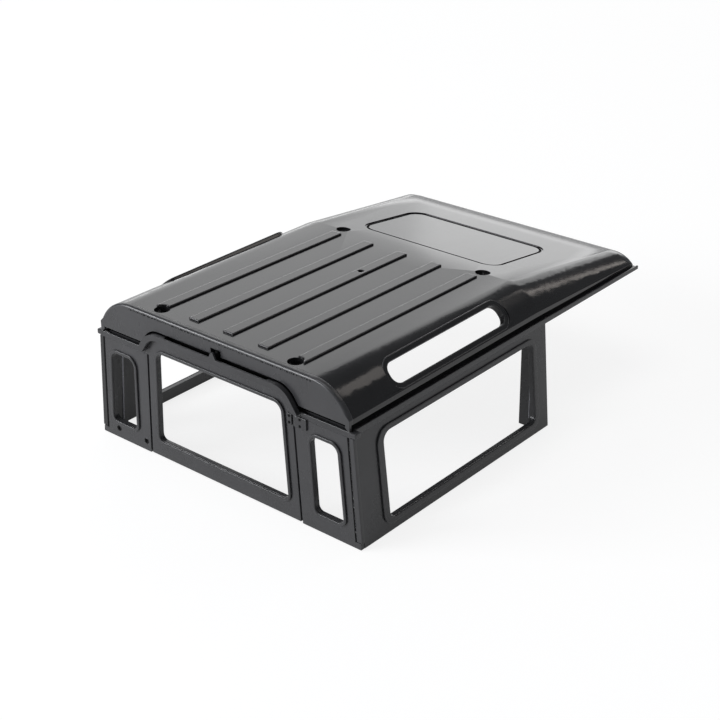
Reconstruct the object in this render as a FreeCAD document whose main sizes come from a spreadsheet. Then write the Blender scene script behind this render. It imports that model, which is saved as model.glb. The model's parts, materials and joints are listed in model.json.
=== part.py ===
import FreeCAD, Part
import Sketcher
import math
import os

os.makedirs("parts", exist_ok=True)
doc = FreeCAD.newDocument("TruckCanopy")
V = FreeCAD.Vector
sheet = doc.addObject("Spreadsheet::Sheet", "Dims")


class Size:
    """A length with its present value and the expression that names it."""

    def __init__(self, value, text):
        self.value = float(value)
        self.text = text

    def __add__(self, other):
        o = as_size(other)
        return Size(self.value + o.value, "(%s + %s)" % (self.text, o.text))

    def __sub__(self, other):
        o = as_size(other)
        return Size(self.value - o.value, "(%s - %s)" % (self.text, o.text))

    def __mul__(self, other):
        o = as_size(other)
        return Size(self.value * o.value, "(%s * %s)" % (self.text, o.text))

    def __truediv__(self, other):
        o = as_size(other)
        return Size(self.value / o.value, "(%s / %s)" % (self.text, o.text))

    def __neg__(self):
        return Size(-self.value, "(0 - %s)" % self.text)


def as_size(item):
    """Accept a Size or a plain number."""
    if isinstance(item, Size):
        return item
    return Size(item, "%.6f" % item if item >= 0 else "(0 - %.6f)" % -item)


rows = {"next": 1}


def dim(alias, value):
    """Write one driving dimension to the sheet and return it."""
    cell = "B%d" % rows["next"]
    sheet.set("A%d" % rows["next"], alias)
    sheet.set(cell, "%.6f" % value)
    sheet.setAlias(cell, alias)
    rows["next"] += 1
    return Size(value, "Dims." + alias)


# overall stance of the canopy
base_half = dim("base_half", 85.4)
wall_tuck = dim("wall_tuck", 5.6)
wall_height = dim("wall_height", 54.7)
wall_run = dim("wall_run", 144.5)
wall_rake = dim("wall_rake", 2.0)
wall_thick = dim("wall_thick", 2.4)
rear_inset = dim("rear_inset", 0.3)
rear_corner_radius = dim("rear_corner_radius", 0.8)
corner_strip_low = dim("corner_strip_low", 3.0)
corner_strip_high = dim("corner_strip_high", 1.4)
corner_step = dim("corner_step", 0.4)
corner_foot = dim("corner_foot", 3.2)
centre_y = dim("centre_y", 114.5)

# drip rail
rail_out = dim("rail_out", 0.5)
rail_depth = dim("rail_depth", 5.6)
rail_height = dim("rail_height", 2.9)
rail_lip = dim("rail_lip", 1.0)
rail_floor = dim("rail_floor", 1.2)
lip_fall = dim("lip_fall", 1.0)
groove_height = dim("groove_height", 2.8)
groove_depth = dim("groove_depth", 2.6)
web_thick = dim("web_thick", 1.0)
web_lap = dim("web_lap", 1.0)

# raised arch over the rear door
arch_proud = dim("arch_proud", 2.7)
arch_rise = dim("arch_rise", 10.7)
arch_crown = dim("arch_crown", 2.8)
arch_foot_out = dim("arch_foot_out", 2.5)
arch_foot_rise = dim("arch_foot_rise", 2.1)
arch_inset = dim("arch_inset", 4.3)
arch_strip = dim("arch_strip", 3.9)
arch_radius = dim("arch_radius", 9.0)
arch_gap = dim("arch_gap", 0.7)
slot_half = dim("slot_half", 3.2)
slot_rise = dim("slot_rise", 3.1)
tab_base_half = dim("tab_base_half", 2.3)
tab_top_half = dim("tab_top_half", 0.6)
tab_rise = dim("tab_rise", 3.1)
tab_gap = dim("tab_gap", 2.4)
tab_thick = dim("tab_thick", 0.6)

# roof shell sections
roof_thick = dim("roof_thick", 2.2)
cap_edge = dim("cap_edge", 1.3)
corner_post = dim("corner_post", 2.4)
skirt_in = dim("skirt_in", 0.2)
skirt_foot = dim("skirt_foot", 1.6)
ledge_rise = dim("ledge_rise", 2.5)
ledge_step = dim("ledge_step", 0.5)
rear_rise = dim("rear_rise", 16.5)
bend_rise = dim("bend_rise", 14.2)
nose_rise = dim("nose_rise", 3.0)
nose_round = dim("nose_round", 2.0)
nose_drop = dim("nose_drop", 3.2)
tip_drop = dim("tip_drop", 4.3)
nose_ledge = dim("nose_ledge", 0.8)
tip_ledge = dim("tip_ledge", 0.3)
nose_tuck = dim("nose_tuck", 1.8)
tip_tuck = dim("tip_tuck", 2.6)
bend_y = dim("bend_y", 139.6)
nose_run = dim("nose_run", 87.4)
tip_run = dim("tip_run", 5.0)
rear_shoulder = dim("rear_shoulder", 21.6)
bend_shoulder = dim("bend_shoulder", 18.6)
nose_shoulder = dim("nose_shoulder", 12.2)

# roof fittings
rib_pitch = dim("rib_pitch", 22.1)
rib_width = dim("rib_width", 6.4)
rib_height = dim("rib_height", 0.9)
rib_round = dim("rib_round", 0.45)
rib_start = dim("rib_start", 8.4)
rib_end_gap = dim("rib_end_gap", 6.3)
hole_rear_y = dim("hole_rear_y", 7.4)
hole_rear_in = dim("hole_rear_in", 1.6)
hole_front_out = dim("hole_front_out", 1.5)
boss_wall = dim("boss_wall", 0.9)
boss_drop = dim("boss_drop", 3.0)
hole_front_gap = dim("hole_front_gap", 0.8)
hole_radius = dim("hole_radius", 3.8)
nub_radius = dim("nub_radius", 1.6)
nub_y = dim("nub_y", 101.0)

# sunken roof hatch
hatch_half = dim("hatch_half", 44.9)
hatch_start = dim("hatch_start", 11.9)
hatch_length = dim("hatch_length", 50.0)
hatch_radius = dim("hatch_radius", 9.0)
hatch_rim = dim("hatch_rim", 0.9)
hatch_gap = dim("hatch_gap", 1.2)
hatch_step = dim("hatch_step", 1.1)
hatch_plate = dim("hatch_plate", 1.6)
hatch_flange = dim("hatch_flange", 1.0)
hatch_lap = dim("hatch_lap", 0.5)

# rear wall
quarter_span = dim("quarter_span", 35.5)
seam_taper = dim("seam_taper", 3.0)
seam_width = dim("seam_width", 1.1)
seam_depth = dim("seam_depth", 1.3)
door_lift = dim("door_lift", 0.4)
door_stile = dim("door_stile", 6.6)
door_win_low = dim("door_win_low", 9.7)
door_head = dim("door_head", 7.3)
door_win_radius = dim("door_win_radius", 4.5)
quarter_stile = dim("quarter_stile", 9.6)
quarter_post_low = dim("quarter_post_low", 8.1)
quarter_post_high = dim("quarter_post_high", 7.3)
quarter_low = dim("quarter_low", 9.7)
quarter_head = dim("quarter_head", 6.3)
quarter_radius = dim("quarter_radius", 4.2)
low_radius = dim("low_radius", 3.0)
rim_width = dim("rim_width", 1.6)
rim_proud = dim("rim_proud", 0.9)

# side wall window
side_low = dim("side_low", 6.6)
side_head = dim("side_head", 5.7)
side_rear = dim("side_rear", 20.2)
front_post = dim("front_post", 11.3)
side_rake = dim("side_rake", 0.9)
side_radius = dim("side_radius", 5.0)
side_low_radius = dim("side_low_radius", 3.5)
side_rim = dim("side_rim", 2.6)
side_rim_rear = dim("side_rim_rear", 4.0)
flange_gap = dim("flange_gap", 4.0)
flange_reach = dim("flange_reach", 7.3)
flange_thick = dim("flange_thick", 2.0)

# high window in the roof side
high_in = dim("high_in", 6.1)
high_up = dim("high_up", 8.6)
high_mid_y = dim("high_mid_y", 76.0)
high_length = dim("high_length", 83.3)
high_height = dim("high_height", 10.6)
high_rim = dim("high_rim", 2.8)
high_proud = dim("high_proud", 0.3)
high_tilt = dim("high_tilt", 48.0)
high_end = dim("high_end", 0.7)

# hinge and vent holes
leaf_thick = dim("leaf_thick", 0.8)
leaf_over = dim("leaf_over", 0.6)
leaf_size = dim("leaf_size", 5.5)
door_leaf_width = dim("door_leaf_width", 2.8)
body_leaf_width = dim("body_leaf_width", 7.6)
vent_radius = dim("vent_radius", 0.9)
vent_z = dim("vent_z", 5.2)
vent_out = dim("vent_out", 12.0)
vent_in = dim("vent_in", 3.4)
return_width = dim("return_width", 10.2)
return_thick = dim("return_thick", 1.6)

zero = Size(0, "0")
doc.recompute()

wall_top_half = base_half - wall_tuck
lean = wall_tuck / wall_height
rail_half = wall_top_half + rail_out
rail_top = wall_height + rail_height
groove_top = rail_top + groove_height
rail_back = groove_depth + web_thick
skirt_half = wall_top_half - skirt_in
web_out = skirt_half - groove_depth
seam_base_half = base_half - quarter_span
seam_top_half = seam_base_half - seam_taper
nose_y = bend_y + nose_run
tip_y = nose_y + tip_run
rear_top = groove_top + rear_rise
bend_top = groove_top + bend_rise
nose_top = groove_top + nose_rise
hole_rear_half = rib_pitch * 2 - hole_rear_in
hole_front_half = rib_pitch * 2 + hole_front_out
hole_front_y = bend_y + hole_front_gap


def new_body(label, shift=None, turn=None):
    """Make a named body; its placement carries it to the assembly frame."""
    body = doc.addObject("PartDesign::Body", label)
    body.Label = label
    x, y, z = shift or (zero, zero, zero)
    x, y, z = as_size(x), as_size(y) - centre_y, as_size(z)
    axis, angle = turn or (V(0, 0, 1), zero)
    body.Placement = FreeCAD.Placement(V(x.value, y.value, z.value), FreeCAD.Rotation(axis, angle.value))
    body.setExpression("Placement.Base.x", x.text)
    body.setExpression("Placement.Base.y", y.text)
    body.setExpression("Placement.Base.z", z.text)
    if turn:
        body.setExpression("Placement.Rotation.Angle", angle.text)
    return body


def origin_plane(body, role):
    """Find one of the body's own origin planes."""
    for item in body.Origin.OriginFeatures:
        if item.Role == role:
            return item
    raise RuntimeError("no plane " + role)


def pin(sketch, geo, pos, x, y):
    """Fix one sketch point by two bound distances."""
    for kind, axis, size in (("DistanceX", -2, as_size(x)), ("DistanceY", -1, as_size(y))):
        if size.text == "0":
            sketch.addConstraint(Sketcher.Constraint("PointOnObject", geo, pos, axis))
            continue
        index = sketch.addConstraint(Sketcher.Constraint(kind, -1, 1, geo, pos, size.value))
        sketch.setExpression("Constraints[%d]" % index, size.text)


def new_sketch(body, role, name, offset=None):
    """Attach a sketch flat to an origin plane, moved along its normal if asked."""
    sketch = body.newObject("Sketcher::SketchObject", name)
    sketch.AttachmentSupport = (origin_plane(body, role), "")
    sketch.MapMode = "FlatFace"
    if offset is not None:
        sketch.AttachmentOffset = FreeCAD.Placement(V(0, 0, offset.value), FreeCAD.Rotation())
        sketch.setExpression("AttachmentOffset.Base.z", offset.text)
    return sketch


def draw_loop(sketch, points, arcs=None):
    """Draw a closed outline; arcs maps a segment number to its radius, signed by side."""
    arcs = arcs or {}
    first = len(sketch.Geometry)
    count = len(points)
    ends = []
    for i in range(count):
        a = points[i]
        b = points[(i + 1) % count]
        pa = V(as_size(a[0]).value, as_size(a[1]).value, 0)
        pb = V(as_size(b[0]).value, as_size(b[1]).value, 0)
        if i in arcs:
            side, radius = arcs[i]
            chord = pb - pa
            mid = (pa + pb) * 0.5
            reach = math.sqrt(max(radius.value ** 2 - (chord.Length / 2) ** 2, 0.0))
            normal = V(-chord.y, chord.x, 0)
            normal.normalize()
            centre = mid + normal * (reach * side)
            top = centre - normal * (radius.value * side)
            arc = Part.Arc(pa, top, pb)
            geo = sketch.addGeometry(arc, False)
            curve = sketch.Geometry[geo]
            start_first = curve.StartPoint.distanceToPoint(pa) < 1e-6
            ends.append((1, 2) if start_first else (2, 1))
        else:
            sketch.addGeometry(Part.LineSegment(pa, pb), False)
            ends.append((1, 2))
    for i in range(count):
        j = (i + 1) % count
        sketch.addConstraint(Sketcher.Constraint("Coincident", first + i, ends[i][1], first + j, ends[j][0]))
    for i in range(count):
        pin(sketch, first + i, ends[i][0], points[i][0], points[i][1])
        if i in arcs:
            index = sketch.addConstraint(Sketcher.Constraint("Radius", first + i, arcs[i][1].value))
            sketch.setExpression("Constraints[%d]" % index, arcs[i][1].text)


def rounded_box(x0, y0, x1, y1, radius):
    """Corner points and arcs of a rectangle with rounded corners, anticlockwise."""
    x0, y0, x1, y1 = as_size(x0), as_size(y0), as_size(x1), as_size(y1)
    points = [(x0 + radius, y0), (x1 - radius, y0), (x1, y0 + radius), (x1, y1 - radius),
              (x1 - radius, y1), (x0 + radius, y1), (x0, y1 - radius), (x0, y0 + radius)]
    arcs = {1: (1, radius), 3: (1, radius), 5: (1, radius), 7: (1, radius)}
    return points, arcs


def draw_circle(sketch, x, y, radius):
    """Draw a circle with bound centre and radius."""
    centre = V(as_size(x).value, as_size(y).value, 0)
    geo = sketch.addGeometry(Part.Circle(centre, V(0, 0, 1), radius.value), False)
    pin(sketch, geo, 3, x, y)
    index = sketch.addConstraint(Sketcher.Constraint("Radius", geo, radius.value))
    sketch.setExpression("Constraints[%d]" % index, radius.text)


def pad(body, sketch, length, name, backwards=False, grow=True):
    """Extrude a sketch and check that it adds or removes material."""
    before = body.Shape.Volume if not body.Shape.isNull() else 0.0
    feature = body.newObject("PartDesign::Pad" if grow else "PartDesign::Pocket", name)
    feature.Profile = sketch
    feature.Length = length.value
    feature.setExpression("Length", length.text)
    feature.Reversed = backwards
    body.Tip = feature
    sketch.Visibility = False
    doc.recompute()
    after = feature.Shape.Volume
    if grow and after <= before + 1e-6 or not grow and after >= before - 1e-6:
        raise RuntimeError("%s in %s changed nothing: %.3f to %.3f" % (name, body.Label, before, after))
    return feature


def cut(body, sketch, length, name, backwards=False):
    """Extrude a sketch as a cut."""
    return pad(body, sketch, length, name, backwards, False)


def edges_where(feature, test):
    """Names of the edges whose midpoint and direction pass a test."""
    names = []
    for number, edge in enumerate(feature.Shape.Edges, 1):
        middle = edge.valueAt((edge.FirstParameter + edge.LastParameter) / 2)
        a = edge.Vertexes[0].Point
        b = edge.Vertexes[-1].Point
        if test(middle, b - a):
            names.append("Edge%d" % number)
    return names


def blend(body, feature, names, radius, label):
    """Round the named edges."""
    if not names:
        raise RuntimeError("no edges for %s in %s" % (label, body.Label))
    item = body.newObject("PartDesign::Fillet", label)
    item.Base = (feature, names)
    item.Radius = radius.value
    item.setExpression("Radius", radius.text)
    body.Tip = item
    doc.recompute()
    if "Invalid" in item.State or item.Shape.isNull():
        raise RuntimeError("%s failed in %s" % (label, body.Label))
    return item


def upright(direction, axis):
    """True where an edge runs along an axis."""
    size = max(direction.Length, 1e-9)
    return abs(direction.dot(axis)) / size > 0.9


AXIS_X = V(1, 0, 0)
AXIS_Y = V(0, 1, 0)


def at_point(point, flat, u, z, reach=0.2):
    """True where a point lies at u, z, with u along X or along Y."""
    across = point.x if flat == "XZ" else point.y
    return math.hypot(across - as_size(u).value, point.z - as_size(z).value) < reach


def mirror_points(points, side):
    """Mirror an outline left to right, keeping it in order."""
    if side > 0:
        return points
    return [(-as_size(x), z) for x, z in points]


def both_sides(points):
    """Close a right-hand outline with its mirror image."""
    return points + [(-as_size(x), z) for x, z in reversed(points)]


def round_corners(body, feature, corners, radii, label, flat="XZ"):
    """Round the corner edges that stand square to a sketch plane at the given points."""
    axis = AXIS_Y if flat == "XZ" else AXIS_X
    groups = {}
    for corner, radius in zip(corners, radii):
        groups.setdefault(radius.text, (radius, []))[1].append(corner)
    last = feature
    for number, (radius, points) in enumerate(groups.values(), 1):
        names = edges_where(last, lambda p, d: upright(d, axis)
                            and any(at_point(p, flat, u, z) for u, z in points))
        last = blend(body, last, names, radius, "%s%d" % (label, number))
    return last


def fall_angle(drop, run):
    """Angle of a slope that drops by one size over another."""
    return Size(math.degrees(math.atan(drop.value / run.value)), "atan(%s / %s)" % (drop.text, run.text))


# rear wall
def seam_half(z):
    """Half width of the door seam at a height."""
    return seam_base_half - seam_taper / wall_height * z


def plate_half(z):
    """Half width of the rear plate at a height."""
    return base_half - rear_inset - lean * z


def arch_inner(z):
    """Half width of the arch's inner line at a height."""
    return seam_top_half + arch_foot_out - arch_slope * (as_size(z) - wall_height)


def arch_outer(z):
    """Half width of the arch's outer line at a height."""
    return arch_inner(z) + arch_strip


arch_under = wall_height + arch_rise
arch_top_half = seam_half(arch_under) - arch_inset
arch_slope = (seam_top_half + arch_foot_out - arch_top_half) / arch_rise
quarter_high = wall_height - quarter_head
door_win_high = arch_under - door_head


def quarter_window(side):
    """Corners of a rear quarter opening."""
    return mirror_points([(seam_half(quarter_low) + quarter_stile, quarter_low),
                          (plate_half(quarter_low) - quarter_post_low, quarter_low),
                          (plate_half(quarter_high) - quarter_post_high, quarter_high),
                          (seam_half(quarter_high) + quarter_stile, quarter_high)], side)


quarter_radii = [low_radius, low_radius, quarter_radius, quarter_radius]
door_radii = [low_radius, low_radius, door_win_radius, door_win_radius]


def seam_step(body, side, inner, outer, low):
    """Cut the door seam along a slanted edge, between two offsets from the seam line."""
    seam = mirror_points([(seam_half(low) + inner, low), (seam_half(low) + outer, low),
                          (seam_top_half + outer, wall_height), (seam_top_half + inner, wall_height)], side)
    sketch = new_sketch(body, "XZ_Plane", "SeamOutline")
    draw_loop(sketch, seam)
    return cut(body, sketch, seam_depth, "SeamStep")


def rear_quarter(side, word):
    """One rear quarter plate with its opening, seam edge and recessed outer strip."""
    body = new_body("rear_quarter_" + word)
    outline = mirror_points([(seam_base_half, zero), (plate_half(zero), zero),
                             (plate_half(wall_height), wall_height), (seam_top_half, wall_height)], side)
    sketch = new_sketch(body, "XZ_Plane", "QuarterOutline")
    draw_loop(sketch, outline)
    last = pad(body, sketch, wall_thick, "QuarterPlate", True)
    corners = quarter_window(side)
    sketch = new_sketch(body, "XZ_Plane", "QuarterOpening")
    draw_loop(sketch, corners)
    last = cut(body, sketch, wall_thick, "QuarterWindow")
    round_corners(body, last, corners, quarter_radii, "WindowCorner")
    seam_step(body, side, zero, seam_width / 2, zero)
    strip = mirror_points([(plate_half(corner_foot) - corner_strip_low, corner_foot),
                           (plate_half(corner_foot) + corner_step, corner_foot),
                           (plate_half(wall_height) + corner_step, wall_height),
                           (plate_half(wall_height) - corner_strip_high, wall_height)], side)
    sketch = new_sketch(body, "XZ_Plane", "CornerStrip")
    draw_loop(sketch, strip)
    last = cut(body, sketch, corner_step, "CornerRecess")
    middle = (wall_height + corner_foot) / 2
    names = edges_where(last, lambda p, d: abs(p.y - corner_step.value) < 0.01 and abs(d.y) < 0.01
                        and abs(abs(p.x) - plate_half(middle).value) < 0.1)
    blend(body, last, names, rear_corner_radius, "OuterCorner")
    if side < 0:
        sketch = new_sketch(body, "XZ_Plane", "VentOutline")
        draw_circle(sketch, vent_out - base_half, vent_z, vent_radius)
        draw_circle(sketch, -(seam_base_half + vent_in), vent_z, vent_radius)
        cut(body, sketch, wall_thick, "VentHoles")
    return body


rear_quarter(-1, "left")
rear_quarter(1, "right")

# the door's upper frame fills the space between the quarters and under the raised arch
door = new_body("rear_door_frame")
sketch = new_sketch(door, "XZ_Plane", "DoorOutline")
draw_loop(sketch, both_sides([(seam_half(door_lift), door_lift), (seam_top_half, wall_height),
                              (arch_inner(wall_height), wall_height), (arch_top_half, arch_under)]))
last = pad(door, sketch, wall_thick, "DoorPlate", True)
last = round_corners(door, last, [(arch_top_half, arch_under), (-arch_top_half, arch_under)],
                     [arch_radius, arch_radius], "ArchCorner")
door_window = [(door_stile - seam_half(door_win_low), door_win_low),
               (seam_half(door_win_low) - door_stile, door_win_low),
               (seam_half(door_win_high) - door_stile, door_win_high),
               (door_stile - seam_half(door_win_high), door_win_high)]
sketch = new_sketch(door, "XZ_Plane", "DoorOpening")
draw_loop(sketch, door_window)
last = cut(door, sketch, wall_thick, "DoorWindow")
round_corners(door, last, door_window, door_radii, "WindowCorner")
for side in (-1, 1):
    seam_step(door, side, seam_width / -2, zero, door_lift)


# raised window rims
def ring(body, outer, inner, outer_radii, inner_radii):
    """A raised ring standing on the wall's face."""
    sketch = new_sketch(body, "XZ_Plane", "RimOutline", rim_proud)
    draw_loop(sketch, outer)
    pad(body, sketch, rim_proud, "RimBand", True)
    sketch = new_sketch(body, "XZ_Plane", "RimOpening", rim_proud)
    draw_loop(sketch, inner)
    last = cut(body, sketch, rim_proud, "RimWindow")
    last = round_corners(body, last, inner, inner_radii, "RimInnerCorner")
    return round_corners(body, last, outer, outer_radii, "RimOuterCorner")


def widen(points, width):
    """Outline of a four-cornered opening moved outwards by a width."""
    xs = [as_size(x).value for x, z in points]
    middle = sum(xs) / len(xs)
    result = []
    for (x, z), rise in zip(points, (-1, -1, 1, 1)):
        direction = 1 if as_size(x).value > middle else -1
        result.append((as_size(x) + width * direction, as_size(z) + width * rise))
    return result


def window_rim(label, opening, radii):
    """Raised rim round one opening of the rear wall."""
    ring(new_body(label), widen(opening, rim_width), opening, [r + rim_width for r in radii], radii)


window_rim("window_rim_door", door_window, door_radii)
window_rim("window_rim_quarter_left", quarter_window(-1), quarter_radii)
window_rim("window_rim_quarter_right", quarter_window(1), quarter_radii)


# hinge on the right-hand side of the door
leaf_high = wall_height + leaf_over
leaf_low = leaf_high - leaf_size
seam_here = seam_half((leaf_low + leaf_high) / 2)


def hinge_leaf(name, inner, width):
    """One flat hinge leaf."""
    body = new_body(name)
    sketch = new_sketch(body, "XZ_Plane", "LeafOutline")
    draw_loop(sketch, [(inner, leaf_low), (inner + width, leaf_low), (inner + width, leaf_high),
                       (inner, leaf_high)])
    pad(body, sketch, leaf_thick, "LeafPlate")


hinge_leaf("hinge_door_leaf", seam_here - seam_width / 2 - door_leaf_width, door_leaf_width)
hinge_leaf("hinge_body_leaf", seam_here + seam_width / 2, body_leaf_width)


# side panels
side_high = wall_height - side_head
side_front_low = wall_run - front_post
side_front_high = side_front_low + side_rake
side_window = [(side_rear - wall_thick, side_low), (side_front_low - wall_thick, side_low),
               (side_front_high - wall_thick, side_high), (side_rear - wall_thick, side_high)]
side_radii = [side_low_radius, side_low_radius, side_low_radius, side_radius]


def side_panel(side, word):
    """One side wall, leaning inwards and raked at the front, with its large opening."""
    body = new_body("side_panel_" + word, (base_half * side, wall_thick, zero))
    top_shift = wall_tuck * -side
    inner_shift = wall_thick * -side
    run = wall_run - wall_thick
    sketch = new_sketch(body, "XZ_Plane", "PanelSection")
    draw_loop(sketch, [(zero, zero), (top_shift, wall_height), (top_shift + inner_shift, wall_height),
                       (inner_shift, zero)])
    pad(body, sketch, run + wall_rake, "PanelPlate", True)
    behind = (wall_tuck * 2 + wall_thick) * -side
    reach = wall_tuck * 4 + wall_thick * 2
    sketch = new_sketch(body, "YZ_Plane", "RakeOutline", behind)
    draw_loop(sketch, [(run, zero), (run + wall_rake, zero), (run + wall_rake, wall_height)])
    cut(body, sketch, reach, "FrontRake", side > 0)
    sketch = new_sketch(body, "YZ_Plane", "PanelOpening", behind)
    draw_loop(sketch, side_window)
    last = cut(body, sketch, reach, "PanelWindow", side > 0)
    round_corners(body, last, side_window, side_radii, "WindowCorner", "YZ")


def side_rim_ring(side, word):
    """Raised ring round the side opening, lying on the leaning face."""
    body = new_body("window_rim_side_" + word, (base_half * side, wall_thick, zero))
    low = side_low - side_rim
    high = side_high + side_rim
    rear = side_rear - wall_thick - side_rim_rear
    front = side_front_high - wall_thick + side_rim
    sketch = new_sketch(body, "XZ_Plane", "RimSection", -rear)
    inwards = lean * -side
    proud = rim_proud * side
    draw_loop(sketch, [(inwards * low, low), (inwards * low + proud, low),
                       (inwards * high + proud, high), (inwards * high, high)])
    pad(body, sketch, front - rear, "RimBand", True)
    sketch = new_sketch(body, "YZ_Plane", "RimOpening", wall_tuck * -2 * side)
    draw_loop(sketch, side_window)
    last = cut(body, sketch, wall_tuck * 4, "RimWindow", side > 0)
    last = round_corners(body, last, side_window, side_radii, "RimInnerCorner", "YZ")
    round_corners(body, last, [(rear, low), (front, low), (front, high), (rear, high)],
                  [r + side_rim for r in side_radii], "RimOuterCorner", "YZ")


for side, word in ((-1, "left"), (1, "right")):
    side_panel(side, word)
    side_rim_ring(side, word)


# drip rails
crown = arch_under + arch_crown
crown_gap = crown + arch_gap
trough_floor = wall_height + rail_floor
run_start = arch_outer(rail_top)
lap_half = skirt_half - roof_thick - skirt_foot - web_lap * 0.1
lap_top = groove_top + web_lap


def rear_rail(side, word):
    """Low run of the rear drip rail: floor, lip, back web and the trough's turn round the corner."""
    body = new_body("drip_rail_rear_" + word)
    lip_back = rail_half - rail_lip
    sketch = new_sketch(body, "XZ_Plane", "RunOutline")
    draw_loop(sketch, mirror_points([(run_start, wall_height), (rail_half, wall_height),
                                     (rail_half, rail_top), (run_start, rail_top)], side))
    pad(body, sketch, rail_back, "Run", True)
    sketch = new_sketch(body, "XZ_Plane", "TroughOutline", -rail_lip)
    draw_loop(sketch, mirror_points([(run_start, trough_floor), (lip_back, trough_floor),
                                     (lip_back, rail_top), (run_start, rail_top)], side))
    cut(body, sketch, groove_depth - rail_lip, "Trough")
    sketch = new_sketch(body, "XZ_Plane", "CornerOutline", -groove_depth)
    draw_loop(sketch, mirror_points([(web_out, trough_floor), (lip_back, trough_floor), (lip_back, rail_top),
                                     (web_out, rail_top)], side))
    cut(body, sketch, web_thick, "CornerTrough")
    sketch = new_sketch(body, "XZ_Plane", "WebOutline", -groove_depth)
    draw_loop(sketch, mirror_points([(run_start, rail_top), (web_out, rail_top), (web_out, groove_top),
                                     (lap_half, groove_top), (lap_half, lap_top),
                                     (run_start, lap_top)], side))
    pad(body, sketch, web_thick, "BackWeb", True)


def arch_rail():
    """Raised rail over the rear door: proud strip with its trough, centre tabs and back web."""
    body = new_body("drip_rail_arch")
    top_half = arch_outer(crown)
    foot = wall_height + arch_foot_rise
    inner_line = [(arch_top_half, arch_under), (-arch_top_half, arch_under)]
    outline = [(arch_inner(wall_height), wall_height), (run_start, wall_height), (run_start, rail_top),
               (top_half, crown)]
    sketch = new_sketch(body, "XZ_Plane", "ArchOutline", arch_proud)
    draw_loop(sketch, both_sides(outline) + [inner_line[1], inner_line[0]])
    last = pad(body, sketch, rail_back + arch_proud, "ArchStrip", True)
    last = round_corners(body, last, inner_line, [arch_radius, arch_radius], "ArchInnerCorner")
    outer_radius = arch_radius + arch_crown
    round_corners(body, last, [(top_half, crown), (-top_half, crown)], [outer_radius, outer_radius],
                  "ArchOuterCorner")
    for side in (-1, 1):
        sketch = new_sketch(body, "XZ_Plane", "FootOutline", arch_proud)
        inner = arch_inner(wall_height) - arch_foot_out
        draw_loop(sketch, mirror_points([(inner, wall_height), (run_start, wall_height), (run_start, foot),
                                         (inner, foot)], side))
        cut(body, sketch, arch_proud, "FootRelief")
    trough_half = arch_top_half - arch_radius
    sketch = new_sketch(body, "XZ_Plane", "TroughOutline", arch_proud - rail_lip)
    draw_loop(sketch, [(-trough_half, arch_under + rail_floor), (trough_half, arch_under + rail_floor),
                       (trough_half, crown), (-trough_half, crown)])
    cut(body, sketch, groove_depth + arch_proud - rail_lip, "Trough")
    knee = arch_under - arch_crown
    knee_half = arch_inner(knee) + arch_strip / 2
    web = [(run_start, rail_top), (run_start, lap_top), (top_half + web_lap * 2, crown_gap + web_lap)]
    under = [(trough_half + web_lap, crown - web_lap), (knee_half, knee)]
    sketch = new_sketch(body, "XZ_Plane", "WebOutline", -groove_depth)
    draw_loop(sketch, both_sides(web) + mirror_points(list(reversed(under)), -1) + under)
    pad(body, sketch, web_thick, "BackWeb", True)
    tab = both_sides([(tab_base_half, crown), (tab_top_half, crown + tab_rise)])
    sketch = new_sketch(body, "XZ_Plane", "TabOutline", arch_proud)
    draw_loop(sketch, tab)
    pad(body, sketch, rail_lip, "FrontTab", True)
    low_tab = both_sides([(tab_base_half, arch_under + rail_floor), (tab_base_half, crown),
                          (tab_top_half, crown + tab_rise)])
    sketch = new_sketch(body, "XZ_Plane", "BackTabOutline", arch_proud - rail_lip - tab_gap)
    draw_loop(sketch, low_tab)
    pad(body, sketch, tab_thick, "BackTab", True)


def side_rail(side, word):
    """Side drip rail: floor, outer lip and back web, running on past the side wall."""
    body = new_body("drip_rail_side_" + word, (zero, rail_back, zero))
    inner = rail_half - rail_depth
    web_in = web_out - web_thick
    section = mirror_points([(inner, wall_height), (rail_half, wall_height), (rail_half, rail_top),
                             (rail_half - rail_lip, rail_top), (rail_half - rail_lip, trough_floor),
                             (web_out, trough_floor), (web_out, groove_top), (web_in, groove_top),
                             (web_in, trough_floor), (inner, trough_floor)], side)
    sketch = new_sketch(body, "XZ_Plane", "RailSection")
    draw_loop(sketch, section)
    run = tip_y - rail_back
    pad(body, sketch, run, "RailRun", True)
    bend_here = bend_y - rail_back
    nose_here = nose_y - rail_back
    sketch = new_sketch(body, "YZ_Plane", "WebTaperOutline", (rail_half - rail_lip) * side)
    draw_loop(sketch, [(bend_here, groove_top), (nose_here, groove_top - nose_drop),
                       (run, groove_top - tip_drop), (run, groove_top)])
    cut(body, sketch, rail_depth, "WebTaper", side < 0)
    sketch = new_sketch(body, "YZ_Plane", "LipTaperOutline", rail_half * side)
    draw_loop(sketch, [(bend_here, rail_top), (run, rail_top - lip_fall), (run, rail_top)])
    cut(body, sketch, rail_lip, "LipTaper", side < 0)


for side, word in ((-1, "left"), (1, "right")):
    rear_rail(side, word)
    side_rail(side, word)
arch_rail()


# roof shell
def roof_section(top, flat, half, skirt_z, ledge):
    """Outer outline of the roof at one station, with the arcs of its shoulders."""
    shoulder_x = half - ledge_step
    shoulder_z = skirt_z + ledge + ledge_step
    run = shoulder_x - flat
    rise = top - shoulder_z
    radius = (run * run + rise * rise) / (rise * 2)
    right = [(half, skirt_z), (half, skirt_z + ledge), (shoulder_x, shoulder_z), (flat, top)]
    return both_sides(right), {2: (1, radius), 4: (1, radius)}


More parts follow.
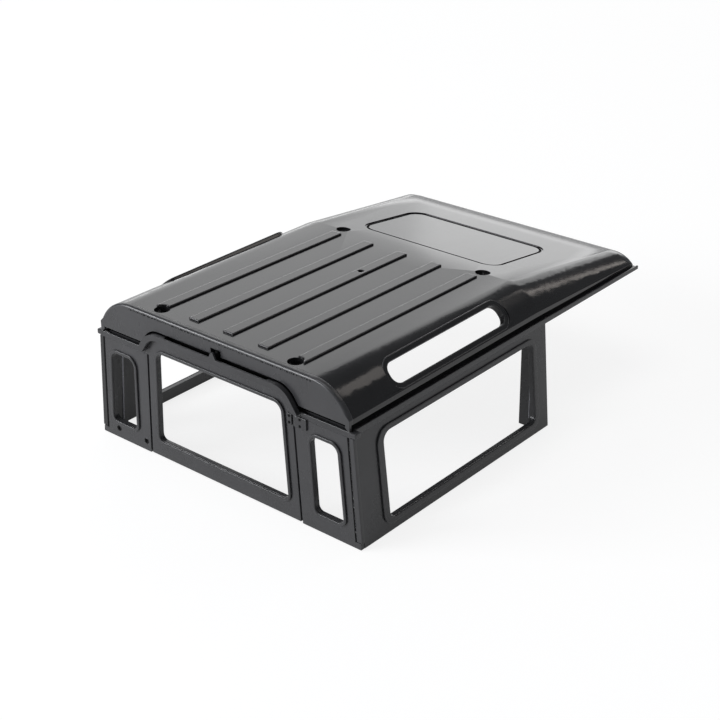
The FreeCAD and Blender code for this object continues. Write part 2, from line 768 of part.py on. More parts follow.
def hollow_section(top, flat, half, skirt_z, ledge):
    """Inner outline of the roof at one station: each shoulder is two straight runs inside the outer arc."""
    edge = half - roof_thick
    shoulder_x = edge - ledge_step
    shoulder_z = skirt_z + ledge + ledge_step
    run = shoulder_x - flat
    rise = top - roof_thick - shoulder_z
    chord = Size(math.hypot(run.value, rise.value), "sqrt(%s ^ 2 + %s ^ 2)" % (run.text, rise.text))
    middle = (flat + chord / 2, top - roof_thick - chord * (chord - run) / (rise * 2))
    return both_sides([(edge - skirt_foot, skirt_z - roof_thick), (edge, skirt_z + ledge),
                       (shoulder_x, shoulder_z), middle, (flat, top - roof_thick)]), {}


nose_flat = skirt_half - nose_tuck - nose_shoulder
stations = [
    (groove_depth, rear_top, skirt_half - rear_shoulder, skirt_half, groove_top, ledge_rise),
    (bend_y, bend_top, skirt_half - bend_shoulder, skirt_half, groove_top, ledge_rise),
    (nose_y, nose_top, nose_flat, skirt_half - nose_tuck, groove_top - nose_drop, nose_ledge),
    (tip_y, nose_top - nose_round, nose_flat, skirt_half - tip_tuck, groove_top - tip_drop, tip_ledge),
]


def roof_loft(kind, name, section, last_y):
    """Ruled loft through the roof stations, to add or to hollow; the last one stands at its own place."""
    profiles = []
    places = [station[0] for station in stations[:-1]] + [last_y]
    for number, (place, station) in enumerate(zip(places, stations), 1):
        sketch = new_sketch(roof, "XZ_Plane", "%sStation%d" % (name, number), -place)
        draw_loop(sketch, *section(*station[1:]))
        profiles.append(sketch)
    feature = roof.newObject(kind, name)
    feature.Profile = profiles[0]
    feature.Sections = profiles[1:]
    feature.Ruled = True
    roof.Tip = feature
    doc.recompute()
    if "Invalid" in feature.State or feature.Shape.isNull():
        raise RuntimeError("loft failed: " + name)


roof = new_body("roof_shell")
roof_loft("PartDesign::AdditiveLoft", "OuterSkin", roof_section, tip_y)
roof_loft("PartDesign::SubtractiveLoft", "InnerSkin", hollow_section, tip_y - roof_thick)
hole_places = [(-hole_rear_half, hole_rear_y), (hole_rear_half, hole_rear_y),
               (-hole_front_half, hole_front_y), (hole_front_half, hole_front_y)]
for name, top, places in (("RearBoss", rear_top, hole_places[:2]), ("FrontBoss", bend_top, hole_places[2:])):
    sketch = new_sketch(roof, "XY_Plane", name + "Outline", top - roof_thick - boss_drop)
    for hx, hy in places:
        draw_circle(sketch, hx, hy, hole_radius + boss_wall)
    pad(roof, sketch, boss_drop + roof_thick / 2, name)
sketch = new_sketch(roof, "XY_Plane", "HoleOutline", rear_top + rib_height)
for hx, hy in hole_places:
    draw_circle(sketch, hx, hy, hole_radius)
cut(roof, sketch, rear_rise, "RoofHoles")

# sunken hatch in the sloping front section
front_fall = fall_angle(bend_top - nose_top, nose_y - bend_y)


def hatch_outline(shrink):
    """Rounded hatch outline in the plane of the front section."""
    return rounded_box(-hatch_half + shrink, hatch_start + shrink, hatch_half - shrink,
                       hatch_start + hatch_length - shrink, hatch_radius - shrink)


def hatch_plate_pad(body, shrink, top, thick, name):
    """Pad one hatch outline downwards from a depth below the front section's surface."""
    sketch = new_sketch(body, "XY_Plane", name + "Outline", -top)
    draw_loop(sketch, *hatch_outline(shrink))
    pad(body, sketch, thick, name, True)


sketch = new_sketch(roof, "XY_Plane", "HatchOutline")
sketch.AttachmentOffset = FreeCAD.Placement(V(0, bend_y.value, bend_top.value),
                                            FreeCAD.Rotation(V(-1, 0, 0), front_fall.value))
sketch.setExpression("AttachmentOffset.Base.y", bend_y.text)
sketch.setExpression("AttachmentOffset.Base.z", bend_top.text)
sketch.setExpression("AttachmentOffset.Rotation.Angle", front_fall.text)
draw_loop(sketch, *hatch_outline(zero))
cut(roof, sketch, roof_thick * 2, "HatchOpening")

hatch_place = ((zero, bend_y, bend_top), (V(-1, 0, 0), front_fall))
hatch_frame = new_body("hatch_frame", *hatch_place)
hatch_plate_pad(hatch_frame, zero, hatch_step, hatch_plate, "FrameBand")
sketch = new_sketch(hatch_frame, "XY_Plane", "FrameInner", -hatch_step)
draw_loop(sketch, *hatch_outline(hatch_rim))
cut(hatch_frame, sketch, hatch_plate, "FrameOpening")
hatch_panel = new_body("hatch_panel", *hatch_place)
hatch_plate_pad(hatch_panel, hatch_lap, hatch_step + hatch_plate, hatch_flange, "Flange")
hatch_plate_pad(hatch_panel, hatch_rim + hatch_gap, hatch_step, hatch_plate, "Panel")


# high windows in the roof sides
high_mid_x = skirt_half - high_in
high_mid_z = groove_top + high_up
ring_depth = high_proud + roof_thick * 1.4


def slot_outline(grow):
    """Rounded outline of a high window in its own plane."""
    half_h = high_height / 2 + grow
    half_l = high_length / 2 + grow
    return rounded_box(-half_h, -half_l, half_h, half_l, high_height / 2 - high_end + grow)


def tilt_sketch(sketch, side, lift):
    """Carry a sketch to the plane of a high window, lifted along its normal."""
    angle = math.radians(high_tilt.value)
    x = (high_mid_x + Size(math.sin(angle), "sin(Dims.high_tilt * 1 deg)") * lift) * side
    z = high_mid_z + Size(math.cos(angle), "cos(Dims.high_tilt * 1 deg)") * lift
    sketch.AttachmentOffset = FreeCAD.Placement(V(x.value, high_mid_y.value, z.value),
                                                FreeCAD.Rotation(V(0, side, 0), high_tilt.value))
    sketch.setExpression("AttachmentOffset.Base.x", x.text)
    sketch.setExpression("AttachmentOffset.Base.y", high_mid_y.text)
    sketch.setExpression("AttachmentOffset.Base.z", z.text)
    sketch.setExpression("AttachmentOffset.Rotation.Angle", high_tilt.text)


def high_window(side, word):
    """Cut one high window in the roof's shoulder and line it with a ring."""
    sketch = new_sketch(roof, "XY_Plane", "HighWindowOutline")
    tilt_sketch(sketch, side, high_rim * 2)
    draw_loop(sketch, *slot_outline(high_rim))
    cut(roof, sketch, high_rim * 2 + roof_thick * 3, "HighWindowOpening")
    body = new_body("window_rim_high_" + word, (high_mid_x * side, high_mid_y, high_mid_z),
                    (V(0, side, 0), high_tilt))
    sketch = new_sketch(body, "XY_Plane", "RingOutline", high_proud)
    draw_loop(sketch, *slot_outline(high_rim))
    pad(body, sketch, ring_depth, "RingBand", True)
    sketch = new_sketch(body, "XY_Plane", "RingOpening", high_proud)
    draw_loop(sketch, *slot_outline(zero))
    cut(body, sketch, ring_depth, "RingWindow")


high_window(-1, "left")
high_window(1, "right")


# end cap
cap = new_body("roof_end_cap")
y, top, flat, half, skirt_z, ledge = stations[0]
upper, shoulders = roof_section(top, flat, half, skirt_z, ledge)
cap_foot = arch_outer(groove_top) + arch_gap * 1.4
cap_top = arch_outer(crown_gap) + arch_gap * 1.4
arch_cut = [(cap_foot, groove_top), (cap_top, crown_gap), (slot_half, crown_gap),
            (slot_half, crown_gap + slot_rise)]
sketch = new_sketch(cap, "XZ_Plane", "CapOutline")
draw_loop(sketch, upper + mirror_points(arch_cut, -1) + list(reversed(arch_cut)), shoulders)
last = pad(cap, sketch, groove_depth, "CapPlate", True)
cut_radius = arch_radius + arch_crown
last = round_corners(cap, last, [(-cap_top, crown_gap), (cap_top, crown_gap)], [cut_radius, cut_radius],
                     "ArchCorner")
names = edges_where(last, lambda p, d: abs(p.y) < 0.01 and abs(d.y) < 0.01
                    and p.z > (groove_top + ledge_rise + ledge_step).value + 0.1
                    and (abs(p.x) > flat.value or p.z > rear_top.value - 0.1))
blend(cap, last, names, cap_edge, "CapEdge")
for side in (-1, 1):
    sketch = new_sketch(cap, "XZ_Plane", "CornerPostOutline")
    draw_loop(sketch, mirror_points([(skirt_half - ledge_step, rail_top), (skirt_half, rail_top),
                                     (skirt_half, groove_top), (skirt_half - corner_post, groove_top),
                                     (skirt_half - corner_post, rail_top + groove_height / 2)], side))
    pad(cap, sketch, groove_depth / 2, "CornerPost", True)


# ribs
rib_fall = fall_angle(rear_top - bend_top, bend_y - groove_depth)
ribs = new_body("roof_ribs", (rib_pitch * -2, groove_depth, rear_top), (V(-1, 0, 0), rib_fall))
ribs.AllowCompound = True
sketch = new_sketch(ribs, "XZ_Plane", "RibSection", groove_depth - rib_start)
rib_half = rib_width / 2
shoulder = rib_height - rib_round
draw_loop(sketch, [(-rib_half, zero), (rib_half, zero), (rib_half, shoulder),
                   (rib_half - rib_round, rib_height), (rib_round - rib_half, rib_height),
                   (-rib_half, shoulder)],
          {2: (1, rib_round), 4: (1, rib_round)})
last = pad(ribs, sketch, bend_y - rib_end_gap - rib_start, "RibBar", True)
pattern = ribs.newObject("PartDesign::LinearPattern", "RibRow")
pattern.Originals = [last]
pattern.Direction = (sketch, ["H_Axis"])
pattern.Length = rib_pitch.value * 4
pattern.setExpression("Length", (rib_pitch * 4).text)
pattern.Occurrences = 5
ribs.Tip = pattern
doc.recompute()
sketch = new_sketch(ribs, "XY_Plane", "RibHoleOutline", rib_height * 2)
for hx, hy in hole_places:
    draw_circle(sketch, rib_pitch * 2 + hx, hy - groove_depth, hole_radius)
draw_circle(sketch, rib_pitch * 2, nub_y - groove_depth, nub_radius)
cut(ribs, sketch, rib_height * 4, "RibClearance")


# front flanges and returns
def wall_inner(z):
    """Half width of the side wall's inner face at a height."""
    return base_half - lean * z - wall_thick


def pillar_flange(side, word):
    """Plate standing across the inside of the side wall behind the front pillar."""
    body = new_body("pillar_flange_" + word, (zero, side_front_low + flange_gap, zero))
    inner = wall_top_half - flange_reach
    sketch = new_sketch(body, "XZ_Plane", "FlangeOutline")
    draw_loop(sketch, mirror_points([(inner, zero), (wall_inner(zero), zero),
                                     (wall_inner(wall_height), wall_height), (inner, wall_height)], side))
    pad(body, sketch, flange_thick, "FlangePlate", True)


def corner_return(side, word):
    """Return of the rear wall lying along the inside of the side wall."""
    body = new_body("corner_return_" + word, (zero, wall_thick, zero))
    low = wall_inner(zero)
    high = wall_inner(wall_height)
    sketch = new_sketch(body, "XZ_Plane", "ReturnOutline")
    draw_loop(sketch, mirror_points([(low - return_thick, zero), (low, zero), (high, wall_height),
                                     (high - return_thick, wall_height)], side))
    pad(body, sketch, return_width, "ReturnPlate", True)


for side, word in ((-1, "left"), (1, "right")):
    pillar_flange(side, word)
    corner_return(side, word)

# check every object, then write each body to its own file
doc.recompute()
for item in doc.Objects:
    if "Invalid" in item.State or "Error" in item.State:
        raise RuntimeError("%s is in state %s" % (item.Label, item.State))
for body in [o for o in doc.Objects if o.isDerivedFrom("PartDesign::Body")]:
    shape = body.Shape
    if shape.isNull() or not shape.isValid():
        raise RuntimeError("bad shape in " + body.Label)
    box = shape.BoundBox
    print(body.Label, len(shape.Solids), "solids", round(shape.Volume, 1), "mm3",
          [round(v, 2) for v in (box.XMin, box.YMin, box.ZMin, box.XMax, box.YMax, box.ZMax)])
    shape.exportStep("parts/%s.step" % body.Label)
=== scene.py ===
import bpy
import json
import math
from mathutils import Matrix, Vector


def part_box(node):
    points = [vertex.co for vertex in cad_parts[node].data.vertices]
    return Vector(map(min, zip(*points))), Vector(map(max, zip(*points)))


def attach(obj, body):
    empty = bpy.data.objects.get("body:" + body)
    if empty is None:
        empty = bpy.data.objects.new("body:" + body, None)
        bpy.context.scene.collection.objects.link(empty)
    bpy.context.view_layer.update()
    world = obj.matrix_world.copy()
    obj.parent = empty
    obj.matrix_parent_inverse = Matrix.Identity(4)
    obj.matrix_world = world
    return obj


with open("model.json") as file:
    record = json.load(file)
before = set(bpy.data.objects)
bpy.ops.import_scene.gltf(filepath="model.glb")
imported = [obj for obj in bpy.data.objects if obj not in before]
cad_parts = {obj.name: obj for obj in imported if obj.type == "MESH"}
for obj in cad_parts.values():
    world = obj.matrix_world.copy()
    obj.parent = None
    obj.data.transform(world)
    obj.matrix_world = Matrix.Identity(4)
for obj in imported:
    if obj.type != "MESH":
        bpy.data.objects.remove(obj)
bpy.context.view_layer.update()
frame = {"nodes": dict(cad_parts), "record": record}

nodes = frame["nodes"]

# Sizes on the canopy are in mm in the part's frame: x to the right, y to the front, z up.
# Noise scales are per metre, and the camera, the floor and the lights are in metres.
MM = 0.001


def box_mm(node):
    """The lowest and the highest corner of a node, in mm."""
    low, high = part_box(node)
    return Vector(low) / MM, Vector(high) / MM


# lines of the canopy that the small pieces and the groove's painted shade keep to
WALL_FACE = box_mm("rear_quarter_right")[0].y
WALL_TOP = box_mm("rear_quarter_right")[1].z
CAP_FOOT = box_mm("roof_end_cap")[0].z
CAP_TOP = box_mm("roof_end_cap")[1].z
ARCH_FACE = box_mm("drip_rail_arch")[0].y
FLANGE_BACK = box_mm("pillar_flange_right")[0].y


# shader nodes
def link(tree, source, target):
    """Join an output to an input."""
    tree.links.new(source, target)


def add(tree, kind, **values):
    """Add a shader node and set its plain sockets and settings by name."""
    node = tree.nodes.new(kind)
    for key, value in values.items():
        if hasattr(node, key):
            setattr(node, key, value)
        else:
            node.inputs[key].default_value = value
    return node


def empty_tree(owner):
    """The cleared node tree of a material or a world."""
    owner.use_nodes = True
    owner.node_tree.nodes.clear()
    return owner.node_tree


def ramp(tree, source, low, high, out_low, out_high):
    """Map a value range to another, clamped."""
    item = tree.nodes.new("ShaderNodeMapRange")
    item.inputs["From Min"].default_value = low
    item.inputs["From Max"].default_value = high
    item.inputs["To Min"].default_value = out_low
    item.inputs["To Max"].default_value = out_high
    link(tree, source, item.inputs["Value"])
    return item.outputs["Result"]


def maths(tree, operation, *sources):
    """One operation on one or two values."""
    item = add(tree, "ShaderNodeMath", operation=operation)
    for socket, source in zip(item.inputs, sources):
        link(tree, source, socket)
    return item.outputs["Value"]


def noise(tree, mapping, settings):
    """A procedural noise on a mapped place."""
    scale, detail, roughness = settings
    item = add(tree, "ShaderNodeTexNoise", Scale=scale, Detail=detail, Roughness=roughness)
    link(tree, mapping.outputs["Vector"], item.inputs["Vector"])
    return item.outputs["Fac"]


# moulded plastic: each noise is scale, detail and roughness, each range the part of it that counts
SMUDGE = (38.0, 4.0, 0.55)
SMUDGE_COLOUR_RANGE = (0.35, 0.7)
SMUDGE_GLOSS_RANGE = (0.3, 0.7)
FLOW = (55.0, 3.0, 0.5)
FLOW_STRETCH = (3.0, 0.35, 1.0)
FLOW_RANGE = (0.35, 0.65)
FLOW_SHARE = 0.5
PEEL = (1900.0, 2.0, 0.5)
PEEL_HEIGHT = 0.06
SWELL = (120.0, 2.0, 0.4)
SWELL_HEIGHT = 0.2
SEED_SHARES = (1.0, 0.7, 0.3)
EDGE_SAMPLES = 6
# the groove behind the rear wall: painted shade, nearly black and with little shine
GROOVE_END = 78.5
GROOVE_FADE = 0.5
GROOVE_SHADE_COLOUR = (0.002, 0.002, 0.002, 1)
GROOVE_RISE = (0.1, 0.3)
SHINE = 0.5
GROOVE_SHINE = 0.05


def groove_shade_mask(tree, place):
    """Where shade is painted: one in the groove behind the rear wall's face, zero on the rail and round
    the corners.
    """
    parts = add(tree, "ShaderNodeSeparateXYZ")
    link(tree, place.outputs["Object"], parts.inputs["Vector"])
    across = maths(tree, "ABSOLUTE", parts.outputs["X"])
    face = (WALL_FACE - GROOVE_FADE) * MM, WALL_FACE * MM
    end = GROOVE_END * MM, (GROOVE_END + GROOVE_FADE) * MM
    foot = [(CAP_FOOT + rise) * MM for rise in GROOVE_RISE]
    behind = ramp(tree, parts.outputs["Y"], *face, 0.0, 1.0)
    between = ramp(tree, across, *end, 1.0, 0.0)
    above = ramp(tree, parts.outputs["Z"], *foot, 0.0, 1.0)
    return maths(tree, "MULTIPLY", maths(tree, "MULTIPLY", behind, between), above)


def mottled_colour(tree, smudge, dark, light):
    """A colour that wanders between two close shades."""
    item = add(tree, "ShaderNodeMix", data_type="RGBA", A=(*dark, 1), B=(*light, 1))
    link(tree, ramp(tree, smudge, *SMUDGE_COLOUR_RANGE, 0.0, 1.0), item.inputs["Factor"])
    return item.outputs["Result"]


def painted_groove_shade(tree, colour, mask):
    """The colour, painted nearly black as shade where the mask is one."""
    item = add(tree, "ShaderNodeMix", data_type="RGBA", B=GROOVE_SHADE_COLOUR)
    link(tree, mask, item.inputs["Factor"])
    link(tree, colour, item.inputs["A"])
    return item.outputs["Result"]


def uneven_roughness(tree, shift, smudge, rough, spread):
    """Roughness with smudges and drawn-out flow marks."""
    stretch = add(tree, "ShaderNodeMapping", Scale=FLOW_STRETCH)
    link(tree, shift.outputs["Vector"], stretch.inputs["Vector"])
    flow_spread = spread * FLOW_SHARE
    smudges = ramp(tree, smudge, *SMUDGE_GLOSS_RANGE, rough - spread, rough + spread)
    flow = ramp(tree, noise(tree, stretch, FLOW), *FLOW_RANGE, -flow_spread, flow_spread)
    return maths(tree, "ADD", smudges, flow)


def moulded_skin(tree, shift, grain, soften):
    """Orange peel and a slow swell in the surface, with edges rounded where soften is set."""
    fine = add(tree, "ShaderNodeBump", Strength=grain, Distance=PEEL_HEIGHT * MM)
    link(tree, noise(tree, shift, PEEL), fine.inputs["Height"])
    if soften:
        edge = add(tree, "ShaderNodeBevel", samples=EDGE_SAMPLES, Radius=soften * MM)
        link(tree, edge.outputs["Normal"], fine.inputs["Normal"])
    wavy = add(tree, "ShaderNodeBump", Strength=grain, Distance=SWELL_HEIGHT * MM)
    link(tree, noise(tree, shift, SWELL), wavy.inputs["Height"])
    link(tree, fine.outputs["Normal"], wavy.inputs["Normal"])
    return wavy.outputs["Normal"]


def plastic(name, dark, light, rough, spread, grain, ior=1.5, seed=0.0, soften=0.0, groove=False):
    """Moulded black plastic: fine orange peel, faint flow marks and smudges in the gloss."""
    mat = bpy.data.materials.new(name)
    tree = empty_tree(mat)
    out = add(tree, "ShaderNodeOutputMaterial")
    shader = add(tree, "ShaderNodeBsdfPrincipled", IOR=ior)
    link(tree, shader.outputs["BSDF"], out.inputs["Surface"])
    place = add(tree, "ShaderNodeTexCoord")
    shift = add(tree, "ShaderNodeMapping", Location=[seed * share for share in SEED_SHARES])
    link(tree, place.outputs["Object"], shift.inputs["Vector"])
    smudge = noise(tree, shift, SMUDGE)
    colour = mottled_colour(tree, smudge, dark, light)
    # painted shade: in the groove the colour turns nearly black and the shine drops
    if groove:
        groove_shade_share = groove_shade_mask(tree, place)
        colour = painted_groove_shade(tree, colour, groove_shade_share)
        shine = ramp(tree, groove_shade_share, 0.0, 1.0, SHINE, GROOVE_SHINE)
        link(tree, shine, shader.inputs["Specular IOR Level"])
    link(tree, colour, shader.inputs["Base Color"])
    link(tree, uneven_roughness(tree, shift, smudge, rough, spread), shader.inputs["Roughness"])
    link(tree, moulded_skin(tree, shift, grain, soften), shader.inputs["Normal"])
    return mat


# finishes, and paints for highlights and shade: two close shades, roughness with its spread, and the
# strength of the bumps
SATIN = {"dark": (0.036, 0.036, 0.038), "light": (0.043, 0.043, 0.046),
         "rough": 0.28, "spread": 0.02, "grain": 0.12}
TRIM = {"dark": (0.031, 0.031, 0.033), "light": (0.038, 0.038, 0.041),
        "rough": 0.25, "spread": 0.02, "grain": 0.12}
GLOSS = {"dark": (0.010, 0.010, 0.011), "light": (0.014, 0.014, 0.015),
         "rough": 0.16, "spread": 0.012, "grain": 0.08}
# painted glint: light grey for small highlights on edges and pips
GLINT_PAINT = {"dark": (0.10, 0.10, 0.105), "light": (0.16, 0.16, 0.165),
        "rough": 0.22, "spread": 0.02, "grain": 0.1}
# painted highlight: pale grey for light edges inside the canopy
HIGHLIGHT_PAINT = {"dark": (0.34, 0.34, 0.37), "light": (0.46, 0.46, 0.50),
            "rough": 0.25, "spread": 0.02, "grain": 0.1}
# painted shade: near black and dull, for dark dots, shadow strips, the hatch's groove and dark pips
SHADE_PAINT = {"dark": (0.002, 0.002, 0.002), "light": (0.004, 0.004, 0.004),
          "rough": 0.75, "spread": 0.04, "grain": 0.10, "ior": 1.2}

wall_mat = plastic("satin_wall", **SATIN)
rim_mat = plastic("satin_rim", **TRIM, seed=0.31, soften=0.4)
rail_mat = plastic("satin_rail", **TRIM, seed=0.57, groove=True)
roof_mat = plastic("gloss_roof", **GLOSS, seed=0.83)
rib_mat = plastic("gloss_rib", **GLOSS, seed=0.83, soften=0.9)
cap_mat = plastic("satin_cap", **SATIN, seed=0.12, soften=0.5)
ring_mat = plastic("gloss_ring", **GLOSS, seed=0.66, soften=0.9)
glint_paint_mat = plastic("painted_glint_grey", **GLINT_PAINT, seed=0.21)
highlight_paint_mat = plastic("painted_highlight_grey", **HIGHLIGHT_PAINT, seed=0.37)
shade_paint_mat = plastic("painted_shade_black", **SHADE_PAINT, seed=0.44)

slot_mats = {
    "wall_plastic": wall_mat,
    "rim_plastic": rim_mat,
    "rail_plastic": rail_mat,
    "roof_plastic": roof_mat,
}
own_mats = {
    "roof_ribs": rib_mat,
    "roof_end_cap": cap_mat,
    "window_rim_high_left": ring_mat,
    "window_rim_high_right": ring_mat,
}
slot_of = {p["node"]: p["material_slot"] for p in frame["record"]["subparts"]}

# fine rounding of every piece of the frame
WELD_DISTANCE = 0.004
EDGE_WIDTH = 0.22
EDGE_SEGMENTS = 2
EDGE_ANGLE = 35


def dress(item, mat):
    """Give a piece of the frame its finish, narrow soft edges and even shading."""
    item.data.materials.clear()
    item.data.materials.append(mat)
    weld = item.modifiers.new("Weld", "WELD")
    weld.merge_threshold = WELD_DISTANCE * MM
    bevel = item.modifiers.new("SoftEdge", "BEVEL")
    bevel.width = EDGE_WIDTH * MM
    bevel.segments = EDGE_SEGMENTS
    bevel.limit_method = "ANGLE"
    bevel.angle_limit = math.radians(EDGE_ANGLE)
    weights = item.modifiers.new("EvenNormals", "WEIGHTED_NORMAL")
    weights.mode = "FACE_AREA_WITH_ANGLE"


for node_name, node_item in nodes.items():
    dress(node_item, own_mats.get(node_name, slot_mats[slot_of[node_name]]))


# small pieces that ride on the canopy
SIDES = (("left", -1), ("right", 1))
BLOCK_SEGMENTS = 3


def piece(name, points, faces, mat):
    """A small added mesh, points in mm in the part's frame, carried by the canopy."""
    mesh = bpy.data.meshes.new(name)
    mesh.from_pydata([tuple(c * MM for c in point) for point in points], [], faces)
    mesh.validate()
    mesh.update()
    mesh.materials.append(mat)
    item = bpy.data.objects.new(name, mesh)
    bpy.context.scene.collection.objects.link(item)
    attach(item, "root")
    return item


def bands(name, loops, mat, closed=False, lid=False):
    """Bands of faces between loops of points, closed from last to first or with a lid on the last."""
    count = len(loops[0])
    points = [point for loop in loops for point in loop]
    starts = range(0, len(points), count)
    pairs = list(zip(starts, starts[1:]))
    if closed:
        pairs.append((starts[-1], 0))
    faces = []
    for a, b in pairs:
        for n in range(count):
            m = (n + 1) % count
            faces.append((a + n, a + m, b + m, b + n))
    if lid:
        faces.append(tuple(range(starts[-1], len(points))))
    return piece(name, points, faces, mat)


def block(name, side, foot, head, depth, heights, mat, soft=0.0):
    """A leaning block on one side: foot and head are x from and to, depth is y from and to."""
    points = []
    for across, z in zip((foot, head), heights):
        x0, x1 = sorted(x * side for x in across)
        y0, y1 = depth
        points += [(x0, y0, z), (x1, y0, z), (x1, y1, z), (x0, y1, z)]
    faces = [(3, 2, 1, 0), (4, 5, 6, 7), (0, 1, 5, 4), (1, 2, 6, 5), (2, 3, 7, 6), (3, 0, 4, 7)]
    item = piece(name, points, faces, mat)
    if soft:
        bevel = item.modifiers.new("SoftEdge", "BEVEL")
        bevel.width = soft * MM
        bevel.segments = BLOCK_SEGMENTS
    return item


def rounded_outline(half_x, half_y, corner, steps):
    """Points and outward directions round a flat rectangle with rounded corners."""
    path = []
    for quarter, (sx, sy) in enumerate(((1, 1), (-1, 1), (-1, -1), (1, -1))):
        centre = Vector((sx * (half_x - corner), sy * (half_y - corner), 0))
        for n in range(steps + 1):
            a = math.radians(90 * quarter + 90 * n / steps)
            out = Vector((math.cos(a), math.sin(a), 0))
            path.append((centre + corner * out, out))
    return path


# round marks of painted shade on the hinge leaves and round the vents
DISC_SIDES = 20
DISC_THICK = 0.2
DOT_RADIUS = 0.68
DOT_CENTRE = 0.05
DOT_INSET = 1.1
DOT_PROUD = 0.1
VENT_X = {"outer": -73.4, "inner": -53.3}
VENT_Z = 5.2
VENT_RADIUS = 0.9
VENT_MARK_RADIUS = 1.45
VENT_MARK_PROUD = 0.06
VENT_EDGE_RADIUS = 1.65
VENT_EDGE_PROUD = 0.1


def disc(name, x, z, outer, inner, y, mat):
    """A flat ring that faces the rear."""
    def circle(radius, back):
        turns = [2 * math.pi * n / DISC_SIDES for n in range(DISC_SIDES)]
        return [(x + radius * math.cos(a), y + back, z + radius * math.sin(a)) for a in turns]

    front = [circle(outer, 0.0), circle(inner, 0.0)]
    back = [circle(inner, DISC_THICK), circle(outer, DISC_THICK)]
    return bands(name, front + back, mat, closed=True)


def hinge_dots(word):
    """Two screw dots on one leaf of the moulded hinge, as near-black discs of painted shade."""
    low, high = box_mm("hinge_%s_leaf" % word)
    x = (low.x + high.x) / 2
    for level, z in (("low", low.z + DOT_INSET), ("high", high.z - DOT_INSET)):
        name = "hinge_dot_%s_%s" % (word, level)
        disc(name, x, z, DOT_RADIUS, DOT_CENTRE, low.y - DOT_PROUD, shade_paint_mat)


def vent_marks(word, x):
    """A flat dark disc of painted shade round a vent hole, with a narrow edge round it."""
    mark_y = WALL_FACE - VENT_MARK_PROUD
    edge_y = WALL_FACE - VENT_EDGE_PROUD
    disc("vent_mark_" + word, x, VENT_Z, VENT_MARK_RADIUS, VENT_RADIUS, mark_y, shade_paint_mat)
    disc("vent_edge_" + word, x, VENT_Z, VENT_EDGE_RADIUS, VENT_MARK_RADIUS, edge_y, rim_mat)


# rear corners: the strip's inner and outer edge lean inwards, each given as x at the foot and at the head
STRIP_FOOT_Z = 3.2
STRIP_INNER = (82.2, 78.7)
STRIP_OUTER = (85.75, 81.6)
# the rest is given as from and to, with depths measured from the rear wall's face
BEAD_DEPTH = (0.15, 2.1)
BEAD_SOFT = 0.5
# painted shade: the left bead takes the darker gloss roof finish, the right one the wall's
BEAD_MAT = {"left": roof_mat, "right": wall_mat}
# the step is a dark strip of painted shadow
STEP_DEPTH = (-0.08, 0.9)
STEP_WIDTH = {"left": 1.0, "right": 0.35}
# the return's edge is a strip of painted highlight
RETURN_FOOT = (80.6, 81.1)
RETURN_HEAD = (76.3, 76.8)
RETURN_DEPTH = (9.0, 9.9)
RETURN_HEIGHTS = (4.0, 50.0)
NUB_X = (79.0, 83.0)
NUB_DEPTH = (-0.1, 3.6)
NUB_LIFT = 0.2
NUB_SOFT = 0.6


def behind_face(depth):
    """A pair of y places measured from the rear wall's face towards the front."""
    return tuple(WALL_FACE + d for d in depth)


def rear_corner(word, side):
    """Corner bead, a dark strip of painted shadow beside it, a painted highlight on the return's edge and
    the nub at the rail's end.
    """
    heights = (STRIP_FOOT_Z, WALL_TOP)
    bead_foot, bead_head = zip(STRIP_INNER, STRIP_OUTER)
    block("corner_bead_" + word, side, bead_foot, bead_head, behind_face(BEAD_DEPTH), heights,
          BEAD_MAT[word], BEAD_SOFT)
    step_foot, step_head = ((x - STEP_WIDTH[word], x) for x in STRIP_INNER)
    block("corner_step_shadow_" + word, side, step_foot, step_head, behind_face(STEP_DEPTH), heights,
          shade_paint_mat)
    block("return_edge_" + word, side, RETURN_FOOT, RETURN_HEAD, behind_face(RETURN_DEPTH),
          RETURN_HEIGHTS, highlight_paint_mat)
    block("rail_nub_" + word, side, NUB_X, NUB_X, behind_face(NUB_DEPTH),
          (WALL_TOP + NUB_LIFT, CAP_FOOT), rail_mat, NUB_SOFT)


# moulding pips on the rear face, light ones as painted glints and dark ones as painted shade, and a
# painted highlight on the edge of the arch's tab
PIP_DEPTH = 0.25
PIP_SHIFT = 0.7
PIP_LEAST = 0.35
SCATTER_STEP = 12.9898
SCATTER_GAIN = 43758.5453
TAB_FOOT = (1.8, 2.35)
TAB_HEAD = (0.3, 0.75)
TAB_Y = (ARCH_FACE + 0.1, ARCH_FACE + 0.6)
TAB_HEIGHTS = (68.0, 70.9)
CORNER_PIP_Y = WALL_FACE - 0.2
CORNER_PIP_START = (82.4, CORNER_PIP_Y, 6.0)
CORNER_PIP_END = (79.0, CORNER_PIP_Y, 53.5)


def pips(name, start, end, count, size, mat):
    """A broken line of tiny moulding pips between two points on the rear face."""
    points = []
    faces = []
    for n in range(count):
        sway = math.sin(n * SCATTER_STEP) * SCATTER_GAIN
        jitter = sway - math.floor(sway)
        along = (n + PIP_SHIFT * jitter) / count
        half = size * (PIP_LEAST + (1 - PIP_LEAST) * jitter)
        x, y, z = (a + (b - a) * along for a, b in zip(start, end))
        base = len(points)
        for dx, dz in ((-1, -1), (1, -1), (1, 1), (-1, 1)):
            points.append((x + dx * half, y + PIP_DEPTH, z + dz * half))
        points.append((x, y, z))
        for a, b in ((0, 1), (1, 2), (2, 3), (3, 0)):
            faces.append((base + a, base + b, base + 4))
        faces.append((base + 3, base + 2, base + 1, base))
    return piece(name, points, faces, mat)


def cap_pips(name, half, proud, drop, count, size, mat):
    """A line of pips along the top edge of the roof's end cap."""
    y = WALL_FACE - proud
    z = CAP_TOP - drop
    return pips(name, (-half, y, z), (half, y, z), count, size, mat)


